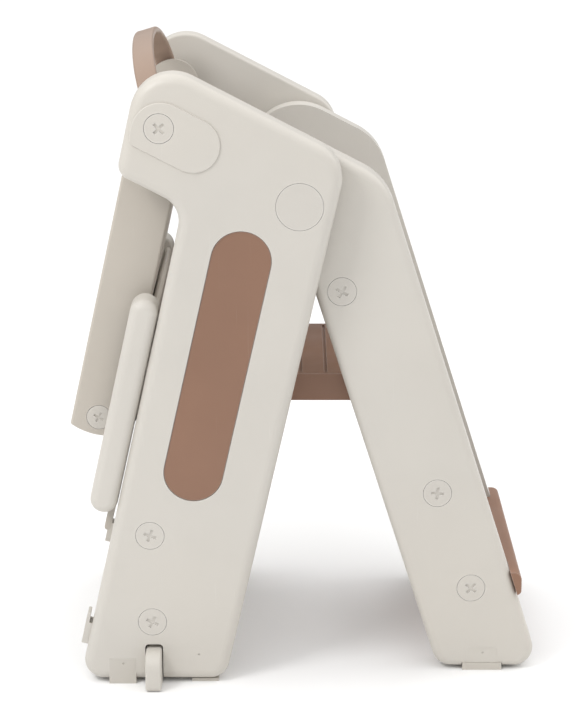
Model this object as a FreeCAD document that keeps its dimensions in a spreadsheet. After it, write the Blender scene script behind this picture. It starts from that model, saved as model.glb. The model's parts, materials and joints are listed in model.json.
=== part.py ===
import FreeCAD, Part
import math
import os

# Folding toddler slide: an A-frame of two front side panels and two ladder panels on one
# pivot line, a two-section chute hung from the arm tips, and a guard bow above it.
# Millimetres. +X is the ladder side, -Y the child's left, +Z up, floor at Z = 0.
# Left-hand pieces are modelled at -Y and mirrored for the right.

Vector = FreeCAD.Vector
doc = FreeCAD.newDocument("toddler_slide")

SIZES = {
    # frame
    "half_width": 169.0, "panel_thick": 33.0, "panel_gap": 1.0,
    "pivot_x": -5.5, "pivot_z": 507.0, "sole_z": 3.0,
    # front panel: leg and arm, measured from the pivot
    "leg_lean": 12.7, "leg_front": 112.5, "leg_rear": 36.0,
    "arm_slope": 27.4, "arm_above": 63.0, "arm_below": 54.5, "arm_reach": 182.5,
    "panel_round": 11.0, "inner_round": 3.0,
    "plateau_high": 1.6, "inlay_wide": 60.0, "inlay_long": 226.0, "inlay_thick": 2.5,
    # ladder panel
    "ladder_lean": 17.8, "ladder_front": 14.5, "ladder_rear": 88.5, "ladder_top": 57.0,
    "ladder_round": 9.0,
    # fasteners
    "cap_wide": 29.0, "cap_thick": 3.0, "cover_wide": 47.0, "pivot_pin": 20.0, "hang_pin": 12.0,
    # chute
    "hang_x": -137.0, "hang_z": 78.0, "wall_deep": 55.0, "chute_half": 116.5, "chute_skin": 8.0,
    "chute_long": 331.0, "rail_wide": 28.5, "rail_top": 128.0, "rail_low": 358.0,
    "rail_outer": 165.0, "rail_inner": 128.0, "slide_gap": 0.8,
    # platform
    "platform_z": 288.0, "platform_thick": 29.0,
    # stabilisers
    "tab_wide": 16.4, "tab_tall": 40.0, "tab_out": 24.0, "tab_long": 75.0,
}

sheet = doc.addObject("Spreadsheet::Sheet", "dims")
for row, (alias, value) in enumerate(SIZES.items(), start=1):
    sheet.set(f"A{row}", alias)
    sheet.set(f"B{row}", str(value))
    sheet.setAlias(f"B{row}", alias)
doc.recompute()
D = {alias: float(sheet.get(alias)) for alias in SIZES}

PX, PZ = D["pivot_x"], D["pivot_z"]
INNER_Y = D["half_width"] - D["panel_thick"]
LADDER_OUT = INNER_Y - D["panel_gap"]
LADDER_IN = LADDER_OUT - D["panel_thick"]
HANG_Y = D["chute_half"]
NEAR = 0.01
nodes = []


# ---------- plane geometry in X-Z ----------

def lean_axes(angle):
    """Unit vectors across and up a leg that leans by angle: its foot towards -X if positive."""
    a = math.radians(angle)
    return (math.cos(a), -math.sin(a)), (math.sin(a), math.cos(a))


def leg_point(u, w, angle=D["leg_lean"]):
    """X and Z of a point u across and w up from the pivot, in a leaning leg's own axes."""
    across, up = lean_axes(angle)
    return PX + u * across[0] + w * up[0], PZ + u * across[1] + w * up[1]


def line(angle, offset):
    """A line as its unit normal and its offset from the pivot."""
    a = math.radians(angle)
    return (math.cos(a), math.sin(a)), offset


def meet(first, second):
    """The point where two lines cross."""
    (a, b), p = first
    (c, d), q = second
    det = a * d - b * c
    return PX + (p * d - q * b) / det, PZ + (a * q - c * p) / det


def rounded(points, closed=True):
    """Edges of an outline of (x, z, radius) corners, each corner an arc of its radius."""
    count = len(points)
    ends = []
    for i, (x, z, radius) in enumerate(points):
        here = Vector(x, z, 0)
        if radius == 0 or (not closed and i in (0, count - 1)):
            ends.append((here, None, here))
            continue
        before = Vector(points[i - 1][0], points[i - 1][1], 0) - here
        after = Vector(points[(i + 1) % count][0], points[(i + 1) % count][1], 0) - here
        before.normalize()
        after.normalize()
        half = before.getAngle(after) / 2
        reach = radius / math.tan(half)
        inward = before + after
        inward.normalize()
        centre = here + inward * (radius / math.sin(half))
        ends.append((here + before * reach, centre - inward * radius, here + after * reach))
    edges = []
    for i, (start, middle, finish) in enumerate(ends):
        if middle is not None:
            edges.append(Part.Arc(start, middle, finish))
        if closed or i < count - 1:
            following = ends[(i + 1) % count][0]
            if finish.distanceToPoint(following) > 1e-6:
                edges.append(Part.LineSegment(finish, following))
    return edges


def capsule(x, z, length, width, angle):
    """Edges of a round-ended slot about (x, z), its long axis leaning by angle."""
    up = lean_axes(angle)[1]
    across = lean_axes(angle)[0]
    half, radius = length / 2, width / 2

    def at(u, w):
        return Vector(x + u * across[0] + w * up[0], z + u * across[1] + w * up[1], 0)

    return [Part.LineSegment(at(-radius, -half), at(-radius, half)),
            Part.Arc(at(-radius, half), at(0, half + radius), at(radius, half)),
            Part.LineSegment(at(radius, half), at(radius, -half)),
            Part.Arc(at(radius, -half), at(0, -half - radius), at(-radius, -half))]


def disc(x, z, radius):
    return [Part.Circle(Vector(x, z, 0), Vector(0, 0, 1), radius)]


def block(x_low, x_high, z_low, z_high, radius=0.0):
    return rounded([(x_low, z_low, radius), (x_high, z_low, radius),
                    (x_high, z_high, radius), (x_low, z_high, radius)])


def leg_block(u_low, u_high, w_low, w_high, radius=0.0):
    corners = [(u_low, w_low), (u_high, w_low), (u_high, w_high), (u_low, w_high)]
    return rounded([(*leg_point(u, w), radius) for u, w in corners])


# ---------- bodies ----------

def check(feature, what):
    doc.recompute()
    if "Invalid" in feature.State or "Error" in feature.State or feature.Shape.isNull():
        raise RuntimeError(f"{what} failed")


def keep(piece, name):
    piece.Label = name
    nodes.append(piece)
    return piece


def add_sketch(body, edges, y):
    """A sketch in the X-Z plane at the given Y, a number or a sheet expression."""
    plane = next(f for f in body.Origin.OriginFeatures if f.Role == "XZ_Plane")
    sketch = body.newObject("Sketcher::SketchObject", body.Name + "_sketch")
    sketch.AttachmentSupport = [(plane, "")]
    sketch.MapMode = "FlatFace"
    sketch.setExpression("AttachmentOffset.Base.z", f"-({y})")
    sketch.addGeometry(edges, False)
    doc.recompute()
    return sketch


def plate(name, edges, y_low, thick, kept=True):
    """A body padded in +Y from y_low by thick, both sheet expressions."""
    body = doc.addObject("PartDesign::Body", name)
    sketch = add_sketch(body, edges, y_low)
    pad = body.newObject("PartDesign::Pad", name + "_pad")
    pad.Profile = sketch
    pad.setExpression("Length", str(thick))
    pad.Reversed = True
    check(pad, name)
    if pad.Shape.BoundBox.YMin < sketch.Placement.Base.y - 0.01:
        raise RuntimeError(f"{name} is padded the wrong way")
    return keep(body, name) if kept else body


def pocket(body, edges, y_low, deep):
    """Cuts edges into body, in +Y from y_low."""
    before = body.Shape.Volume
    sketch = add_sketch(body, edges, y_low)
    cut = body.newObject("PartDesign::Pocket", body.Name + "_pocket")
    cut.Profile = sketch
    cut.setExpression("Length", str(deep))
    check(cut, body.Name + " pocket")
    if body.Shape.Volume > before - 0.5:
        raise RuntimeError(f"a pocket in {body.Name} cuts nothing")
    return cut


def round_edges(body, wanted, radius):
    """Rounds every edge of body whose bounding box is wanted."""
    base = body.Tip
    names = [f"Edge{i}" for i, e in enumerate(base.Shape.Edges, start=1) if wanted(e.BoundBox)]
    fillet = body.newObject("PartDesign::Fillet", body.Name + "_round")
    fillet.Base = (base, names)
    fillet.setExpression("Radius", str(radius))
    check(fillet, body.Name + " rounding")


def round_face(body, y, radius):
    """Rounds every edge of body that lies in the plane at y."""
    round_edges(body, lambda b: abs(b.YMin - y) < NEAR and abs(b.YMax - y) < NEAR, radius)


def mirrored(source, name):
    twin = doc.addObject("Part::Mirroring", name)
    twin.Source = source
    twin.Base = Vector(0, 0, 0)
    twin.Normal = Vector(0, 1, 0)
    check(twin, name)
    return keep(twin, name)


def rod(x, z, y_low, y_high, radius):
    """A cylinder along Y; radius may be a sheet expression."""
    piece = doc.addObject("Part::Cylinder", "rod")
    piece.setExpression("Radius", str(radius))
    piece.Height = y_high - y_low
    piece.Placement = FreeCAD.Placement(Vector(x, y_low, z), FreeCAD.Rotation(Vector(1, 0, 0), -90))
    return piece


def box(x_low, x_high, y_low, y_high, z_low, z_high):
    piece = doc.addObject("Part::Box", "box")
    piece.Length, piece.Width, piece.Height = x_high - x_low, y_high - y_low, z_high - z_low
    piece.Placement.Base = Vector(x_low, y_low, z_low)
    return piece


def fused(pieces):
    whole = doc.addObject("Part::MultiFuse", "fused")
    whole.Shapes = pieces
    check(whole, "fuse")
    return whole


def cut_from(base, tool):
    whole = doc.addObject("Part::Cut", "cut")
    whole.Base = base
    whole.Tool = tool
    check(whole, "cut")
    return whole


def group(pieces, name):
    """Separate solids kept in one node."""
    whole = doc.addObject("Part::Compound", name)
    whole.Links = pieces
    check(whole, name)
    return keep(whole, name)


def cross_cap(x, z, y_face, width, turn):
    """A round screw cap whose outer face is at -y_face, with a crossed recess."""
    arm_long, arm_wide, recess = 0.46 * width, 0.11 * width, 1.3
    disc_piece = rod(x, z, -y_face, -y_face + D["cap_thick"], width / 2)
    arms = []
    for angle in (turn, turn + 90):
        arm = doc.addObject("Part::Box", "cross_arm")
        arm.Length, arm.Width, arm.Height = arm_long, recess, arm_wide
        spin = FreeCAD.Rotation(Vector(0, 1, 0), angle)
        corner = spin.multVec(Vector(-arm_long / 2, 0, -arm_wide / 2))
        arm.Placement = FreeCAD.Placement(Vector(x, -y_face, z) + corner, spin)
        arms.append(arm)
    return cut_from(disc_piece, fused(arms))


def pair_group(pieces, name):
    """The left-hand pieces and their mirror images as one node of separate solids."""
    twins = []
    for piece in pieces:
        twin = doc.addObject("Part::Mirroring", "twin")
        twin.Source = piece
        twin.Normal = Vector(0, 1, 0)
        check(twin, name)
        twins.append(twin)
    return group(pieces + twins, name)


# ---------- places shared by several pieces ----------

HANG_X, HANG_Z = PX + D["hang_x"], PZ + D["hang_z"]
# each screw's X and Z, and how far its cross is turned
FRAME_SCREWS = [(HANG_X, HANG_Z, 45), (PX - 153.0, 164.0, 20), (PX - 152.0, 69.0, 25)]
LADDER_SCREWS = [(PX + 43.0, 413.0, 30), (PX + 143.0, 198.0, 5), (PX + 180.0, 93.0, 40)]
CAP_R = D["cap_wide"] / 2
CAP_CLEAR = 0.4
FIT = 0.08
TAB_X = PX - 150.8
BOW_SKIN = 7.0
FRONT_SOLE = (PX - 198.0, PX - 170.0)
REAR_SOLE = (PX - 112.0, PX - 84.0)
LADDER_SOLE = (PX + 172.0, PX + 215.0)
SOLE_TALL = 28.0
SOLE_DEEP = 24.0
LADDER_SOLE_TALL = 8.0
MARK_R = 1.2
MARK_DEEP = 0.8


# ---------- front side panels ----------

def panel_outline():
    leg_front = line(-D["leg_lean"], -D["leg_front"])
    leg_rear = line(-D["leg_lean"], D["leg_rear"])
    tip = line(-D["leg_lean"], -D["arm_reach"])
    arm_top = line(90 - D["arm_slope"], D["arm_above"])
    arm_low = line(90 - D["arm_slope"], -D["arm_below"])
    sole = line(90, D["sole_z"] - PZ)
    return rounded([(*meet(arm_top, tip), 42.0), (*meet(tip, arm_low), 15.0),
                    (*meet(arm_low, leg_front), 26.0), (*meet(leg_front, sole), 20.0),
                    (*meet(sole, leg_rear), 20.0), (*meet(leg_rear, arm_top), 38.0)])


def side_panels():
    panel = plate("side_panel_left", panel_outline(), "-dims.half_width", "dims.panel_thick")
    round_face(panel, -D["half_width"], "dims.panel_round")
    round_face(panel, -INNER_Y, "dims.inner_round")
    outer = "-dims.half_width"
    for x, z, _turn in FRAME_SCREWS:
        pocket(panel, disc(x, z, CAP_R + CAP_CLEAR), outer, "dims.cap_thick")
    pocket(panel, disc(PX, PZ, D["cover_wide"] / 2 + CAP_CLEAR), outer, "dims.cap_thick")
    pocket(panel, disc(PX, PZ, D["pivot_pin"] / 2), outer, "dims.panel_thick")
    pocket(panel, disc(HANG_X, HANG_Z, D["hang_pin"] / 2), outer, "dims.panel_thick")
    inlay_across, inlay_drop, inlay_gap, inlay_sunk = -44.5, -179.0, 1.0, 1
    inlay_at = leg_point(inlay_across, inlay_drop)
    pocket(panel, capsule(*inlay_at, D["inlay_long"], D["inlay_wide"] + inlay_gap, D["leg_lean"]),
           outer, f"dims.inlay_thick + {inlay_sunk}")
    slot_half, slot_top, slot_round = D["tab_wide"] / 2 + 1.1, D["tab_tall"] + 4.0, 4.0
    slot = block(TAB_X - slot_half, TAB_X + slot_half, -2 * slot_round, slot_top, slot_round)
    pocket(panel, slot, outer, "dims.panel_thick")
    pocket(panel, block(*FRONT_SOLE, 0.0, SOLE_TALL), outer, SOLE_DEEP)
    mark_x, mark_z = PX - 104.2, 33.0
    pocket(panel, disc(mark_x, mark_z, MARK_R), outer, MARK_DEEP)
    mirrored(panel, "side_panel_right")
    inlay = plate("inlay_left", capsule(*inlay_at, D["inlay_long"], D["inlay_wide"], D["leg_lean"]),
                  f"-dims.half_width + {inlay_sunk}", "dims.inlay_thick")
    mirrored(inlay, "inlay_right")


def arm_plateaus():
    """The raised band on each arm's outer face, round at one end and trimmed to the arm's tip."""
    half, inset, reach, tip_round, low_round = 27.0, 5.0, 64.0, 30.0, 9.0
    end_round = half - 0.1
    slope = D["arm_slope"]
    normal = Vector(math.sin(math.radians(slope)), math.cos(math.radians(slope)), 0)
    along = Vector(normal.y, -normal.x, 0)
    hub = Vector(D["hang_x"], D["hang_z"], 0)
    upper = line(90 - slope, hub.dot(normal) + half)
    lower = line(90 - slope, hub.dot(normal) - half)
    tip = line(-D["leg_lean"], -D["arm_reach"] + inset)
    end = line(-slope, hub.dot(along) + reach)
    corners = [(*meet(upper, tip), tip_round), (*meet(tip, lower), low_round),
               (*meet(lower, end), end_round), (*meet(end, upper), end_round)]
    face = "-dims.half_width - dims.plateau_high"
    plateau = plate("arm_plateau_left", rounded(corners), face, "dims.plateau_high")
    round_face(plateau, -D["half_width"] - D["plateau_high"], 1.2)
    pocket(plateau, disc(HANG_X, HANG_Z, CAP_R + CAP_CLEAR), face, "dims.plateau_high + 1")
    mirrored(plateau, "arm_plateau_right")


def frame_fasteners():
    caps = []
    for index, (x, z, turn) in enumerate(FRAME_SCREWS):
        face = D["half_width"] + (D["plateau_high"] if index == 0 else 0.0)
        caps.append(cross_cap(x, z, face, D["cap_wide"], turn))
    pair_group(caps, "frame_screw_caps")
    pair_group([rod(PX, PZ, -D["half_width"], -D["half_width"] + D["cap_thick"], "dims.cover_wide / 2")],
               "pivot_covers")
    pin_end, head_thick = LADDER_IN - 0.5, 5.0
    pin = rod(PX, PZ, -D["half_width"] + D["cap_thick"], -pin_end, "dims.pivot_pin / 2")
    head = rod(PX, PZ, -pin_end, -pin_end + head_thick, "dims.pivot_pin")
    pair_group([fused([pin, head])], "pivot_pins")
    washer_r, washer_thick = 30, 0.7
    washer = cut_from(rod(PX, PZ, -INNER_Y, -INNER_Y + washer_thick, washer_r),
                      rod(PX, PZ, -INNER_Y - 1, -INNER_Y + 2, f"dims.pivot_pin / 2 + {FIT}"))
    pair_group([washer], "pivot_washers")


def hang_hardware():
    """Bosses and pins on the arm tips, which carry the guard bow and the chute."""
    boss_r, boss_end = 20, -HANG_Y - BOW_SKIN - 1.5
    boss = cut_from(rod(HANG_X, HANG_Z, -INNER_Y, boss_end, boss_r),
                    rod(HANG_X, HANG_Z, -INNER_Y - 1, boss_end + 1, f"dims.hang_pin / 2 + {FIT}"))
    pair_group([boss], "arm_bosses")
    head_r, head_start, head_thick = 10, -HANG_Y + D["chute_skin"] + 0.6, 3.4
    pin = rod(HANG_X, HANG_Z, -D["half_width"] + D["cap_thick"], head_start + 1, "dims.hang_pin / 2")
    head = rod(HANG_X, HANG_Z, head_start, head_start + head_thick, head_r)
    pair_group([fused([pin, head])], "hang_pins")


# ---------- cross members and small parts of the front frame ----------

def front_beams():
    corner = 9.0
    # each beam's lowest and highest place across and up the legs
    upper = (-111.3, -52.0, -412.0, -338.0)
    lower = (-80.0, -28.0, -482.0, -440.0)
    plate("front_beam_upper", leg_block(*upper, corner), -INNER_Y, 2 * INNER_Y)
    plate("front_beam_lower", leg_block(*lower, corner), -INNER_Y, 2 * INNER_Y)


def latch_hooks():
    """A small upturned hook on the front edge of each leg, near its foot."""
    low, tip, shelf = -504.0, -470.0, -481.0
    root, blunt = 0.1, 1.2
    face = -D["leg_front"]
    back, front = face - 3.4, face - 7.0
    corners = [(face, low, root), (front, low, blunt), (front, tip, blunt), (back, tip, blunt),
               (back, shelf, blunt), (face, shelf, root)]
    edges = rounded([(*leg_point(u, w), radius) for u, w, radius in corners])
    hook_low, hook_wide = -158.0, 18
    hook = plate("latch_hook_left", edges, hook_low, hook_wide)
    mirrored(hook, "latch_hook_right")


def platform():
    """The standing board, narrower where the folding ladder passes beside it."""
    front, neck, rear = PX - 157.0, PX - 70.0, PX + 64.0
    low, top = D["platform_z"], D["platform_z"] + D["platform_thick"]
    corner, past, beside_gap = 4.0, 5.0, 2.5
    body = plate("platform", block(front, rear, low, top, corner), -INNER_Y, 2 * INNER_Y)
    beside = block(neck, rear + past, low - past, top + past)
    half = LADDER_IN - beside_gap
    pocket(body, beside, -INNER_Y, INNER_Y - half)
    pocket(body, beside, half, INNER_Y - half)
    pitch, groove, groove_deep, margin = 26.0, 3.0, 1.8, 6.0
    last = rear - 12.0
    count = int((last - front - 2 * pitch) / pitch) + 1
    grooves = []
    for i in range(1, count + 1):
        x = last - i * pitch
        grooves += block(x, x + groove, top - groove_deep, top + past)
    pocket(body, grooves, -half + margin, 2 * half - 2 * margin)
    cleat_front, cleat_rear, cleat_size = PX - 150.0, PX - 82.0, 20.0
    cleat = box(cleat_front, cleat_rear, -INNER_Y, -INNER_Y + cleat_size, low - cleat_size, low)
    pair_group([cleat], "platform_cleats")


def soles():
    proud, inset = 0.4, 6.0
    face = -D["half_width"] - proud
    front = box(*FRONT_SOLE, face, -D["half_width"] + SOLE_DEEP, 0.0, SOLE_TALL)
    mark_x, mark_z = PX - 182.9, 23.0
    front = cut_from(front, rod(mark_x, mark_z, face - 1, face + MARK_DEEP, MARK_R))
    rear = box(*REAR_SOLE, -D["half_width"] + inset, -INNER_Y - inset, 0.0, D["sole_z"])
    pair_group([front, rear], "front_soles")


def outriggers():
    """A stabiliser that slides out of a slot in the foot of each front panel."""
    body = doc.addObject("PartDesign::Body", "outrigger_left")
    plane = next(f for f in body.Origin.OriginFeatures if f.Role == "YZ_Plane")
    sketch = body.newObject("Sketcher::SketchObject", "outrigger_sketch")
    sketch.AttachmentSupport = [(plane, "")]
    sketch.MapMode = "FlatFace"
    sketch.AttachmentOffset = FreeCAD.Placement(Vector(0, 0, TAB_X - D["tab_wide"] / 2), FreeCAD.Rotation())
    end = -D["half_width"] - D["tab_out"]
    root = end + D["tab_long"]
    toe_round, nose_round, side_round = 6.0, 16.0, 2.5
    sketch.addGeometry(rounded([(end, 0.0, toe_round), (root, 0.0, 0.0),
                                (root, D["tab_tall"], 0.0), (end, D["tab_tall"], nose_round)]), False)
    pad = body.newObject("PartDesign::Pad", "outrigger_pad")
    pad.Profile = sketch
    pad.setExpression("Length", "dims.tab_wide")
    check(pad, "outrigger")
    round_edges(body, lambda b: b.XLength < NEAR and b.YMin < root - 1, side_round)
    keep(body, "outrigger_left")
    mirrored(body, "outrigger_right")


# ---------- ladder ----------

def ladder_outline():
    lean = D["ladder_lean"]
    rear = line(lean, D["ladder_rear"])
    front = line(lean, -D["ladder_front"])
    top = line(90 - D["arm_slope"], D["ladder_top"])
    sole = line(90, D["sole_z"] - PZ)
    radius = D["ladder_top"]
    top_round, foot_round = 60.0, 20.0
    start_angle = math.radians(90 - D["arm_slope"])
    start = (PX + radius * math.cos(start_angle), PZ + radius * math.sin(start_angle))
    drop = math.sqrt(radius ** 2 - D["ladder_front"] ** 2)
    finish = leg_point(-D["ladder_front"], -drop, -lean)
    edges = rounded([(*start, 0.0), (*meet(top, rear), top_round), (*meet(rear, sole), foot_round),
                     (*meet(sole, front), foot_round), (*finish, 0.0)], closed=False)
    middle = Vector(PX - radius, PZ, 0)
    edges.append(Part.Arc(Vector(*finish, 0), middle, Vector(*start, 0)))
    return edges


def ladder_panels():
    outer = f"-{LADDER_OUT}"
    panel = plate("ladder_panel_left", ladder_outline(), outer, "dims.panel_thick")
    round_face(panel, -LADDER_OUT, "dims.ladder_round")
    pocket(panel, disc(PX, PZ, D["pivot_pin"] / 2 + FIT), outer, "dims.panel_thick")
    for x, z, _turn in LADDER_SCREWS:
        pocket(panel, disc(x, z, CAP_R + CAP_CLEAR), outer, "dims.cap_thick")
    pocket(panel, block(*LADDER_SOLE, 0.0, LADDER_SOLE_TALL), outer, "dims.panel_thick")
    # a shallow framed field with a dimple, above the sole
    field = (PX + 177.4, PX + 209.5, LADDER_SOLE_TALL, 26.0, 1.5)
    field_deep = 0.6
    pocket(panel, block(*field), outer, field_deep)
    mark_x, mark_z = PX + 193.9, 20.0
    pocket(panel, disc(mark_x, mark_z, MARK_R), outer, field_deep + MARK_DEEP)
    mirrored(panel, "ladder_panel_right")
    caps = [cross_cap(x, z, LADDER_OUT, D["cap_wide"], turn) for x, z, turn in LADDER_SCREWS]
    pair_group(caps, "ladder_screw_caps")
    gap = 1.0
    front, rear = LADDER_SOLE
    sole = box(front + gap, rear - gap, -LADDER_OUT, -LADDER_IN, 0.0, LADDER_SOLE_TALL)
    pair_group([sole], "ladder_soles")


def ladder_x(u, z):
    """X on the line u behind the pivot line of the ladder, at height z."""
    a = math.radians(D["ladder_lean"])
    return PX + (u - (z - PZ) * math.sin(a)) / math.cos(a)


def ladder_members():
    """The step, whose nosing runs behind both ladder panels, and the round bar between them."""
    top, thick, proud, front = 110.0, 25.0, 12.0, PX + 132.0
    low = top - thick
    gap, corner, nose_round = 0.3, 5.0, 8.0
    rear = ladder_x(D["ladder_rear"] + proud, top)
    step = plate("ladder_step", rounded([(front, low, corner), (rear, low, corner),
                                         (rear, top, nose_round), (front, top, corner)]),
                 -LADDER_OUT, 2 * LADDER_OUT)
    # room for the ladder panels in front of the nosing
    past = 5.0
    behind = D["ladder_rear"] + gap
    beside = rounded([(front - past, low - past, 0.0), (ladder_x(behind, low - past), low - past, 0.0),
                      (ladder_x(behind, top + past), top + past, 0.0), (front - past, top + past, 0.0)])
    wide = D["panel_thick"] + gap
    pocket(step, beside, -LADDER_OUT - 1, wide + 1)
    pocket(step, beside, LADDER_IN - gap, wide + 1)
    # grip grooves across the tread
    groove, groove_deep, margin, pitch, first, count = 2.5, 1.5, 8.0, 12.0, 18.0, 5
    grooves = []
    for i in range(count):
        x = front + first + i * pitch
        grooves += block(x, x + groove, top - groove_deep, top + past)
    pocket(step, grooves, -LADDER_IN + margin, 2 * LADDER_IN - 2 * margin)
    bar_r = 13
    bar_x, bar_z, _turn = LADDER_SCREWS[0]
    keep(rod(bar_x, bar_z, -LADDER_IN, LADDER_IN, bar_r), "ladder_top_bar")


# ---------- chute ----------

LEAN = math.radians(D["leg_lean"])
HANG_U = D["hang_x"] * math.cos(LEAN) - D["hang_z"] * math.sin(LEAN)
HANG_W = D["hang_x"] * math.sin(LEAN) + D["hang_z"] * math.cos(LEAN)
CHUTE_SCREW_W = HANG_W - 318.0


def chute_upper():
    half = D["wall_deep"] / 2
    low, belly = HANG_W - D["chute_long"], 6.0
    left_low, right_low = leg_point(HANG_U - half, low), leg_point(HANG_U + half, low)
    left_top, right_top = leg_point(HANG_U - half, HANG_W), leg_point(HANG_U + half, HANG_W)
    crown, bottom = leg_point(HANG_U, HANG_W + half), leg_point(HANG_U, low - belly)

    def flat(point):
        return Vector(point[0], point[1], 0)

    edges = [Part.LineSegment(flat(left_low), flat(left_top)),
             Part.Arc(flat(left_top), flat(crown), flat(right_top)),
             Part.LineSegment(flat(right_top), flat(right_low)),
             Part.Arc(flat(right_low), flat(bottom), flat(left_low))]
    body = plate("chute_upper", edges, "-dims.chute_half", "2 * dims.chute_half")
    edge_round = 3
    for face in (-D["chute_half"], D["chute_half"]):
        round_edges(body, lambda b: abs(b.YMin - face) < NEAR and abs(b.YMax - face) < NEAR
                    and b.ZLength > D["wall_deep"] / 3, edge_round)
    inside = "-dims.chute_half + dims.chute_skin"
    wide = "2 * dims.chute_half - 2 * dims.chute_skin"
    sliding = HANG_U + half - D["chute_skin"]
    past, above, throat = 5.0, HANG_W + 60.0, HANG_W - 30.0
    pocket(body, leg_block(HANG_U - half - past, sliding, low - 20.0, above), inside, wide)
    pocket(body, leg_block(sliding - 1.0, HANG_U + half + past, throat, above), inside, wide)
    pocket(body, disc(HANG_X, HANG_Z, D["hang_pin"] / 2 + FIT), "-dims.chute_half", "2 * dims.chute_half")
    x, z = leg_point(HANG_U, CHUTE_SCREW_W)
    cap_wide, turn = 25.0, 30
    for side in ("-dims.chute_half", "dims.chute_half - dims.cap_thick"):
        pocket(body, disc(x, z, cap_wide / 2 + CAP_CLEAR), side, "dims.cap_thick")
    pair_group([cross_cap(x, z, D["chute_half"], cap_wide, turn)], "chute_screw_caps")


def chute_lower():
    """Two side rails with a groove inside each, and the sliding floor between them."""
    near = -D["leg_front"] - D["slide_gap"]
    far = near - D["rail_wide"]
    middle = (near + far) / 2
    length = D["rail_low"] - D["rail_top"] - D["rail_wide"]
    centre = leg_point(middle, -(D["rail_top"] + D["rail_low"]) / 2)
    outer_round, inner_round = 10, 3
    rail = plate("chute_rail_left", capsule(*centre, length, D["rail_wide"], D["leg_lean"]),
                 "-dims.rail_outer", "dims.rail_outer - dims.rail_inner")
    round_face(rail, -D["rail_outer"], outer_round)
    round_face(rail, -D["rail_inner"], inner_round)
    groove_mid, groove_half, groove_deep = middle - 2.0, 5.5, 8.5
    groove_low, groove_high = -318.0, -160.0
    pocket(rail, leg_block(groove_mid - groove_half, groove_mid + groove_half, groove_low, groove_high),
           f"-dims.rail_inner - {groove_deep}", groove_deep)
    mirrored(rail, "chute_rail_right")

    floor_thick, floor_gap, floor_low, floor_high, floor_round = 7.0, 2.0, -387.0, -138.0, 3.4
    back = -D["leg_front"] - floor_gap
    plate("chute_lower_floor", leg_block(back - floor_thick, back, floor_low, floor_high, floor_round),
          "-dims.rail_inner", "2 * dims.rail_inner")

    # a shoe fixed to the upper chute's side, whose key runs in the rail's groove
    shoe_low, shoe_high, shoe_ahead, shoe_behind, shoe_gap = -312.0, -268.0, 8.0, 5.0, 0.6
    key_half, key_short, key_high = groove_half - 0.8, 2.0, 8.0
    pad = plate("slide_shoe_block", leg_block(groove_mid - shoe_ahead, groove_mid + shoe_behind,
                                              shoe_low, shoe_high),
                f"-dims.rail_inner + {shoe_gap}", f"dims.rail_inner - {shoe_gap} - dims.chute_half",
                kept=False)
    key = plate("slide_key", leg_block(groove_mid - key_half, groove_mid + key_half,
                                       shoe_low + key_short, shoe_high - key_short),
                f"-dims.rail_inner - {key_high}", key_high + shoe_gap + 0.1, kept=False)
    whole = keep(fused([pad, key]), "slide_shoe_left")
    mirrored(whole, "slide_shoe_right")


def bow_arch(half, tall, spring, low):
    """A face in the X-Y plane: upright sides from low up to spring, and half an ellipse above them."""
    ellipse = Part.Ellipse(Vector(half, spring, 0), Vector(0, tall, 0), Vector(0, spring, 0))
    edges = [Part.Arc(ellipse, 0, math.pi), Part.LineSegment(Vector(-half, spring, 0), Vector(-half, low, 0)),
             Part.LineSegment(Vector(-half, low, 0), Vector(half, low, 0)),
             Part.LineSegment(Vector(half, low, 0), Vector(half, spring, 0))]
    return Part.Face(Part.Wire([edge.toShape() for edge in edges]))


def guard_bow():
    """An arch of flat band with rounded edges, whose two eyes turn on the arm-tip pins."""
    lean, eye_r, clear = -16.5, 13.0, 2.0
    spring, rise, wide, forward, edge_round = 24.0, 52.0, 22.0, 2.5, 2.6
    outer_y = HANG_Y + BOW_SKIN + 1.0
    outer = bow_arch(outer_y, spring + rise, spring, 0.0)
    inner = bow_arch(outer_y - BOW_SKIN, spring + rise - BOW_SKIN, spring, -clear)
    band = outer.cut(inner).extrude(Vector(0, 0, wide))
    long_edges = [edge for edge in band.Edges if edge.BoundBox.ZLength < NEAR and edge.BoundBox.YMax > NEAR]
    band = band.makeFillet(edge_round, long_edges)
    # stand the arch up in the Y-Z plane
    band.translate(Vector(0, 0, -wide / 2 - forward))
    upright = FreeCAD.Placement(FreeCAD.Matrix(0, 0, 1, 0, 1, 0, 0, 0, 0, 1, 0, 0, 0, 0, 0, 1))
    band.Placement = upright.multiply(band.Placement)
    eyes = []
    holes = []
    for y_low in (-outer_y, outer_y - BOW_SKIN):
        eyes.append(Part.makeCylinder(eye_r, BOW_SKIN, Vector(0, y_low, 0), Vector(0, 1, 0)))
        holes.append(Part.makeCylinder(D["hang_pin"] / 2 + FIT, BOW_SKIN + 2 * clear,
                                       Vector(0, y_low - clear, 0), Vector(0, 1, 0)))
    feature = doc.addObject("Part::Feature", "guard_bow")
    feature.Shape = band.fuse(eyes).cut(holes)
    feature.Placement = FreeCAD.Placement(Vector(HANG_X, 0, HANG_Z),
                                          FreeCAD.Rotation(Vector(0, 1, 0), lean))
    keep(feature, "guard_bow")


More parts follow.
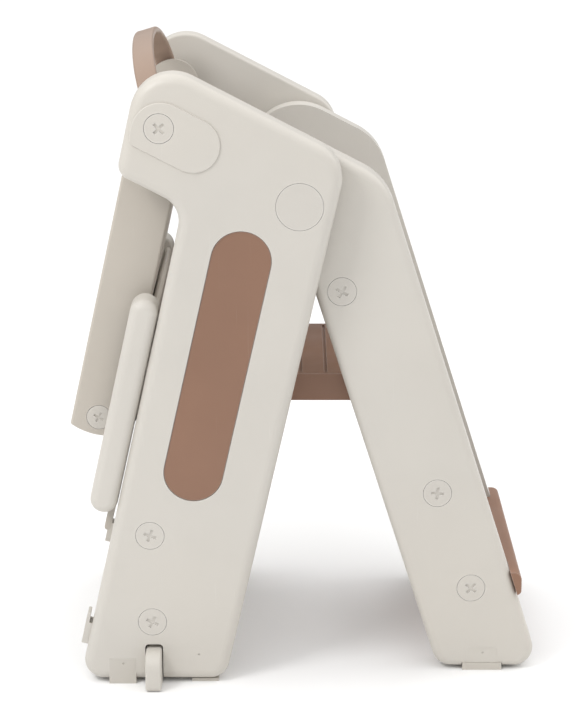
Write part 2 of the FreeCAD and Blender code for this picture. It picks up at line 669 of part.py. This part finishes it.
def main():
    side_panels()
    arm_plateaus()
    frame_fasteners()
    hang_hardware()
    front_beams()
    latch_hooks()
    platform()
    soles()
    outriggers()
    ladder_panels()
    ladder_members()
    chute_upper()
    chute_lower()
    guard_bow()
    doc.recompute()
    for thing in doc.Objects:
        if "Invalid" in thing.State or "Error" in thing.State:
            raise RuntimeError(f"{thing.Name} did not compute")
    os.makedirs("parts", exist_ok=True)
    for piece in nodes:
        if piece.Shape.isNull() or not piece.Shape.isValid():
            raise RuntimeError(f"{piece.Label} has no valid shape")
        piece.Shape.exportStep(f"parts/{piece.Label}.step")
    whole = FreeCAD.BoundBox()
    for piece in nodes:
        whole.add(piece.Shape.BoundBox)
    print(len(nodes), "nodes", whole)


main()
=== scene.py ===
from collections import namedtuple
import json
import math

import bpy
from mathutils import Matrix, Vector

# Looks for the folding toddler slide: moulded plastics and brushed steel on the CAD nodes,
# a pale floor and soft studio light.
# Metres, in the CAD frame: +X is the ladder side, -Y the near side, +Z up.

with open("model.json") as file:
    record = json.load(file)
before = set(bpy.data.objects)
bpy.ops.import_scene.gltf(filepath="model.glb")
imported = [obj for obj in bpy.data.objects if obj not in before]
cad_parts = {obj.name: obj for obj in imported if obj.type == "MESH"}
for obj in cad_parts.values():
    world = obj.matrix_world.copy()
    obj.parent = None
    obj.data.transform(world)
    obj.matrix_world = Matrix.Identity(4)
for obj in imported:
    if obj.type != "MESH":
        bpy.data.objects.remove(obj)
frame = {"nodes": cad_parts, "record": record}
bpy.context.view_layer.update()
nodes = frame["nodes"]
scene = bpy.context.scene
scene.view_settings.view_transform = "Standard"


# ---------- values of the materials ----------

# A noise pattern: its scale and detail, the noise values where it starts and is full, and
# its strength where it is full.
Pattern = namedtuple("Pattern", "scale detail low high most")

DRIFT = Pattern(scale=9.0, detail=4.0, low=0.35, high=0.65, most=1.0)
BLUSH = Pattern(scale=3.1, detail=2.0, low=0.40, high=0.70, most=0.8)
SPECKS = Pattern(scale=420.0, detail=2.0, low=0.66, high=0.74, most=0.35)
TARNISH = Pattern(scale=40.0, detail=4.0, low=0.45, high=0.75, most=0.5)
SCRATCHES = Pattern(scale=1.0, detail=2.0, low=0.70, high=0.78, most=1.0)

SCRATCH_TURN = (0.3, 0.9, 0.2)
SCRATCH_STRETCH = (520.0, 420.0, 14.0)
DRAWN_STRETCH = (900.0, 60.0, 900.0)
DRAWN_DETAIL = 3.0
NOISE_ROUGH = 0.5
MID_NOISE = (0.3, 0.7)

WARM_SHARE = 0.4
# Edge mask for the painted highlight: the colour is lifted toward a lighter tint along sharp edges.
EDGE_HIGHLIGHT_RADIUS = 0.0022
EDGE_HIGHLIGHT_RANGE = (0.05, 0.30)
EDGE_HIGHLIGHT_SAMPLES = 4

GLOSS_SCALE = 26.0
GLOSS_DETAIL = 4.0
GLOSS_SPAN = (0.05, 0.06)
STEEL_SPAN = (0.08, 0.12)
SCRATCH_DULLS = 0.15

WAVE_SCALE = 34.0
WAVE_DETAIL = 2.0
WAVE_HIGH = 0.0012
GRAIN_DETAIL = 3.0
GRAIN_HIGH = 0.0003
NICK_STRENGTH = 0.08
NICK_HIGH = 0.0001
LINE_STRENGTH = 0.15
LINE_HIGH = 0.0001

PLASTIC_IOR = 1.5
PLASTIC_SPECULAR = 0.45
TARNISH_SHADE = 0.72

CREAM = (0.585, 0.556, 0.508)
# Cream darkened into painted shade, for the chute pieces that stand in the shade under the arm.
CREAM_IN_PAINTED_SHADE = (0.510, 0.470, 0.415)
BROWN = (0.262, 0.143, 0.092)
BOW = (0.330, 0.238, 0.186)
CAP = (0.575, 0.546, 0.500)
SOLE = (0.560, 0.530, 0.482)
SHOE = (0.500, 0.480, 0.440)
STEEL = (0.56, 0.56, 0.55)


# ---------- material helpers ----------

def add(tree, kind, inputs=None, **settings):
    """A node of a kind, with its settings, and its inputs set to values or joined to sockets."""
    node = tree.nodes.new("ShaderNode" + kind)
    for key, value in settings.items():
        setattr(node, key, value)
    for key, value in (inputs or {}).items():
        socket = node.inputs[key]
        if isinstance(value, bpy.types.NodeSocket):
            tree.links.new(value, socket)
        else:
            socket.default_value = value
    return node


def new_material(name):
    """A node material, its tree and its shader."""
    material = bpy.data.materials.new(name)
    material.use_nodes = True
    tree = material.node_tree
    return material, tree, tree.nodes["Principled BSDF"]


def noise(tree, place, scale, detail):
    inputs = {"Vector": place, "Scale": scale, "Detail": detail, "Roughness": NOISE_ROUGH}
    return add(tree, "TexNoise", inputs).outputs["Fac"]


def ranged(tree, value, low, high, to_low, to_high):
    """A value taken from one range to another, and held at its ends."""
    inputs = {"Value": value, "From Min": low, "From Max": high, "To Min": to_low, "To Max": to_high}
    return add(tree, "MapRange", inputs).outputs["Result"]


def spread(tree, place, pattern):
    """A pattern as a mixing factor, from 0 to its strength."""
    value = noise(tree, place, pattern.scale, pattern.detail)
    return ranged(tree, value, pattern.low, pattern.high, 0.0, pattern.most)


def mixed(tree, factor, first, second):
    """A colour mixed from two, each a colour or a socket."""
    node = add(tree, "Mix", data_type="RGBA")
    factor_input, first_input, second_input, colour_output = 0, 6, 7, 2
    tree.links.new(factor, node.inputs[factor_input])
    for index, value in ((first_input, first), (second_input, second)):
        if isinstance(value, bpy.types.NodeSocket):
            tree.links.new(value, node.inputs[index])
        else:
            node.inputs[index].default_value = (*value, 1.0)
    return node.outputs[colour_output]


def edge_mask(tree, radius, low, high):
    """0 on a flat surface and 1 on an edge sharper than radius."""
    soft = add(tree, "Bevel", {"Radius": radius}, samples=EDGE_HIGHLIGHT_SAMPLES).outputs["Normal"]
    flat = add(tree, "NewGeometry").outputs["Normal"]
    dot = add(tree, "VectorMath", {0: soft, 1: flat}, operation="DOT_PRODUCT").outputs["Value"]
    return ranged(tree, dot, 1.0 - low, 1.0 - high, 0.0, 1.0)


# ---------- materials ----------

def moulded(name, colour, rough, grain=1500.0, grain_deep=0.12, wave_deep=0.10, vary=0.035,
            edge_highlight=0.10, scuffs=0.5):
    """Moulded plastic: fine grain, slow waves, faint colour drift, scuffs, and a painted highlight
    along its edges.
    """
    material, tree, shader = new_material(name)
    place = add(tree, "TexCoord").outputs["Object"]
    red, green, blue = colour

    darker = tuple(channel * (1.0 - vary) for channel in colour)
    warmer = (red, green * (1.0 - WARM_SHARE * vary), blue * (1.0 - vary))
    # The lighter colour serves both the scuffs (wear) and the painted highlight along the edges.
    lighter = tuple(min(1.0, channel + (1.0 - channel) * edge_highlight) for channel in colour)
    tint = mixed(tree, spread(tree, place, DRIFT), darker, colour)
    tint = mixed(tree, spread(tree, place, BLUSH), tint, warmer)
    tint = mixed(tree, spread(tree, place, SPECKS), tint, darker)

    stretch = add(tree, "Mapping", {"Vector": place, "Rotation": SCRATCH_TURN,
                                    "Scale": SCRATCH_STRETCH}).outputs["Vector"]
    scratch = spread(tree, stretch, SCRATCHES._replace(most=scuffs))
    tint = mixed(tree, scratch, tint, lighter)
    # Sharp edges are lifted to the lighter colour: a painted highlight, not wear.
    tint = mixed(tree, edge_mask(tree, EDGE_HIGHLIGHT_RADIUS, *EDGE_HIGHLIGHT_RANGE), tint, lighter)
    tree.links.new(tint, shader.inputs["Base Color"])

    smoother, rougher = GLOSS_SPAN
    gloss = ranged(tree, noise(tree, place, GLOSS_SCALE, GLOSS_DETAIL), *MID_NOISE,
                   rough - smoother, rough + rougher)
    dulled = ranged(tree, scratch, 0.0, 1.0, 0.0, SCRATCH_DULLS)
    gloss = add(tree, "Math", {0: gloss, 1: dulled}, operation="ADD").outputs[0]
    tree.links.new(gloss, shader.inputs["Roughness"])

    wave = noise(tree, place, WAVE_SCALE, WAVE_DETAIL)
    waved = add(tree, "Bump", {"Height": wave, "Strength": wave_deep, "Distance": WAVE_HIGH})
    fine = noise(tree, place, grain, GRAIN_DETAIL)
    grained = add(tree, "Bump", {"Height": fine, "Strength": grain_deep, "Distance": GRAIN_HIGH,
                                 "Normal": waved.outputs["Normal"]})
    nicked = add(tree, "Bump", {"Height": scratch, "Strength": NICK_STRENGTH, "Distance": NICK_HIGH,
                                "Normal": grained.outputs["Normal"]}, invert=True)
    tree.links.new(nicked.outputs["Normal"], shader.inputs["Normal"])
    shader.inputs["IOR"].default_value = PLASTIC_IOR
    shader.inputs["Specular IOR Level"].default_value = PLASTIC_SPECULAR
    return material


def brushed(name, colour, rough):
    """Steel turned or drawn along Y, with fine lines and a little tarnish."""
    material, tree, shader = new_material(name)
    place = add(tree, "TexCoord").outputs["Object"]
    lines = add(tree, "Mapping", {"Vector": place, "Scale": DRAWN_STRETCH}).outputs["Vector"]
    drawn = noise(tree, lines, 1.0, DRAWN_DETAIL)
    stained = tuple(TARNISH_SHADE * channel for channel in colour)
    tint = mixed(tree, spread(tree, place, TARNISH), colour, stained)
    tree.links.new(tint, shader.inputs["Base Color"])
    smoother, rougher = STEEL_SPAN
    gloss = ranged(tree, drawn, *MID_NOISE, rough - smoother, rough + rougher)
    tree.links.new(gloss, shader.inputs["Roughness"])
    bump = add(tree, "Bump", {"Height": drawn, "Strength": LINE_STRENGTH, "Distance": LINE_HIGH})
    tree.links.new(bump.outputs["Normal"], shader.inputs["Normal"])
    shader.inputs["Metallic"].default_value = 1.0
    return material


def paper(name, colour, rough, specular, scale=0.8, detail=2.0, shade=0.995):
    """Plain backdrop paper that is very slightly uneven."""
    material, tree, shader = new_material(name)
    place = add(tree, "TexCoord").outputs["Object"]
    uneven = tuple(shade * channel for channel in colour)
    tint = mixed(tree, noise(tree, place, scale, detail), colour, uneven)
    tree.links.new(tint, shader.inputs["Base Color"])
    shader.inputs["Roughness"].default_value = rough
    shader.inputs["Specular IOR Level"].default_value = specular
    return material


finishes = {
    "cream_plastic": moulded("cream_moulded", CREAM, rough=0.42),
    # Cream in painted shade: a darker copy of the cream for the chute pieces.
    "cream_plastic_painted_shade": moulded("cream_moulded_painted_shade", CREAM_IN_PAINTED_SHADE, rough=0.36, grain_deep=0.06),
    "brown_plastic": moulded("brown_moulded", BROWN, rough=0.48, grain_deep=0.20, vary=0.08,
                             edge_highlight=0.14, scuffs=0.12),
    "bow_plastic": moulded("bow_moulded", BOW, rough=0.34, grain_deep=0.08, vary=0.06),
    "cap_plastic": moulded("cap_moulded", CAP, rough=0.40, grain=2600.0, edge_highlight=0.22),
    "sole_rubber": moulded("sole_rubber", SOLE, rough=0.72, grain=900.0, grain_deep=0.45,
                           vary=0.06, edge_highlight=0.05, scuffs=0.8),
    "shoe_plastic": moulded("shoe_moulded", SHOE, rough=0.25, grain_deep=0.03),
    "pin_steel": brushed("pin_steel_brushed", STEEL, rough=0.34),
}
slots = {sub["node"]: sub["material_slot"] for sub in frame["record"]["subparts"]}

# These nodes have a finish of their own, whatever their slot says; the chute pieces get a darker
# copy of the cream, which is painted shade.
own = {"chute_upper": "cream_plastic_painted_shade", "chute_lower_floor": "cream_plastic_painted_shade",
       "guard_bow": "bow_plastic"}
for name, node in nodes.items():
    node.data.materials.clear()
    node.data.materials.append(finishes[own.get(name, slots[name])])


# ---------- floor, light and camera ----------

FLOOR_REACH = 30.0
FLOOR_WHITE = (0.92, 0.92, 0.92)
SKY_HORIZON = 0.26
SKY_ZENITH = 1.62
SKY_WHITE = (1.0, 1.0, 1.0, 1.0)
SENSOR_WIDTH = 36.0
LENS = 108.8
CAMERA_PLACE = (-0.0135, -2.2607, 0.9511)
CAMERA_TILT = 74.0

floor_mesh = bpy.data.meshes.new("floor")
corners = [(-1, -1), (1, -1), (1, 1), (-1, 1)]
floor_mesh.from_pydata([(x * FLOOR_REACH, y * FLOOR_REACH, 0) for x, y in corners],
                       [], [range(len(corners))])
floor = bpy.data.objects.new("floor", floor_mesh)
floor.data.materials.append(paper("floor_paper", FLOOR_WHITE, rough=0.8, specular=0.1))
scene.collection.objects.link(floor)

world = bpy.data.worlds.new("studio")
world.use_nodes = True
sky = world.node_tree
background = sky.nodes["Background"]
direction = add(sky, "TexCoord").outputs["Generated"]
height = add(sky, "SeparateXYZ", {"Vector": direction}).outputs["Z"]
strength = ranged(sky, height, 0.0, 1.0, SKY_HORIZON, SKY_ZENITH)
sky.links.new(strength, background.inputs["Strength"])
background.inputs["Color"].default_value = SKY_WHITE
scene.world = world


def soft_light(name, place, target, size, watts):
    """A square area light that faces a target."""
    lamp = bpy.data.lights.new(name, "AREA")
    lamp.shape = "SQUARE"
    lamp.size = size
    lamp.energy = watts
    holder = bpy.data.objects.new(name, lamp)
    holder.location = place
    facing = Vector(target) - Vector(place)
    holder.rotation_euler = facing.to_track_quat("-Z", "Y").to_euler()
    scene.collection.objects.link(holder)


soft_light("key", place=(-1.15, -1.1, 1.75), target=(0.0, 0.0, 0.35), size=0.6, watts=13.5)
soft_light("rim", place=(1.7, 0.2, 1.5), target=(0.1, 0.0, 0.3), size=1.0, watts=7.0)

lens = bpy.data.cameras.new("camera")
lens.sensor_width = SENSOR_WIDTH
lens.lens = LENS
camera = bpy.data.objects.new("camera", lens)
camera.location = CAMERA_PLACE
camera.rotation_euler = (math.radians(CAMERA_TILT), 0.0, 0.0)
scene.collection.objects.link(camera)
scene.camera = camera

bpy.context.view_layer.update()
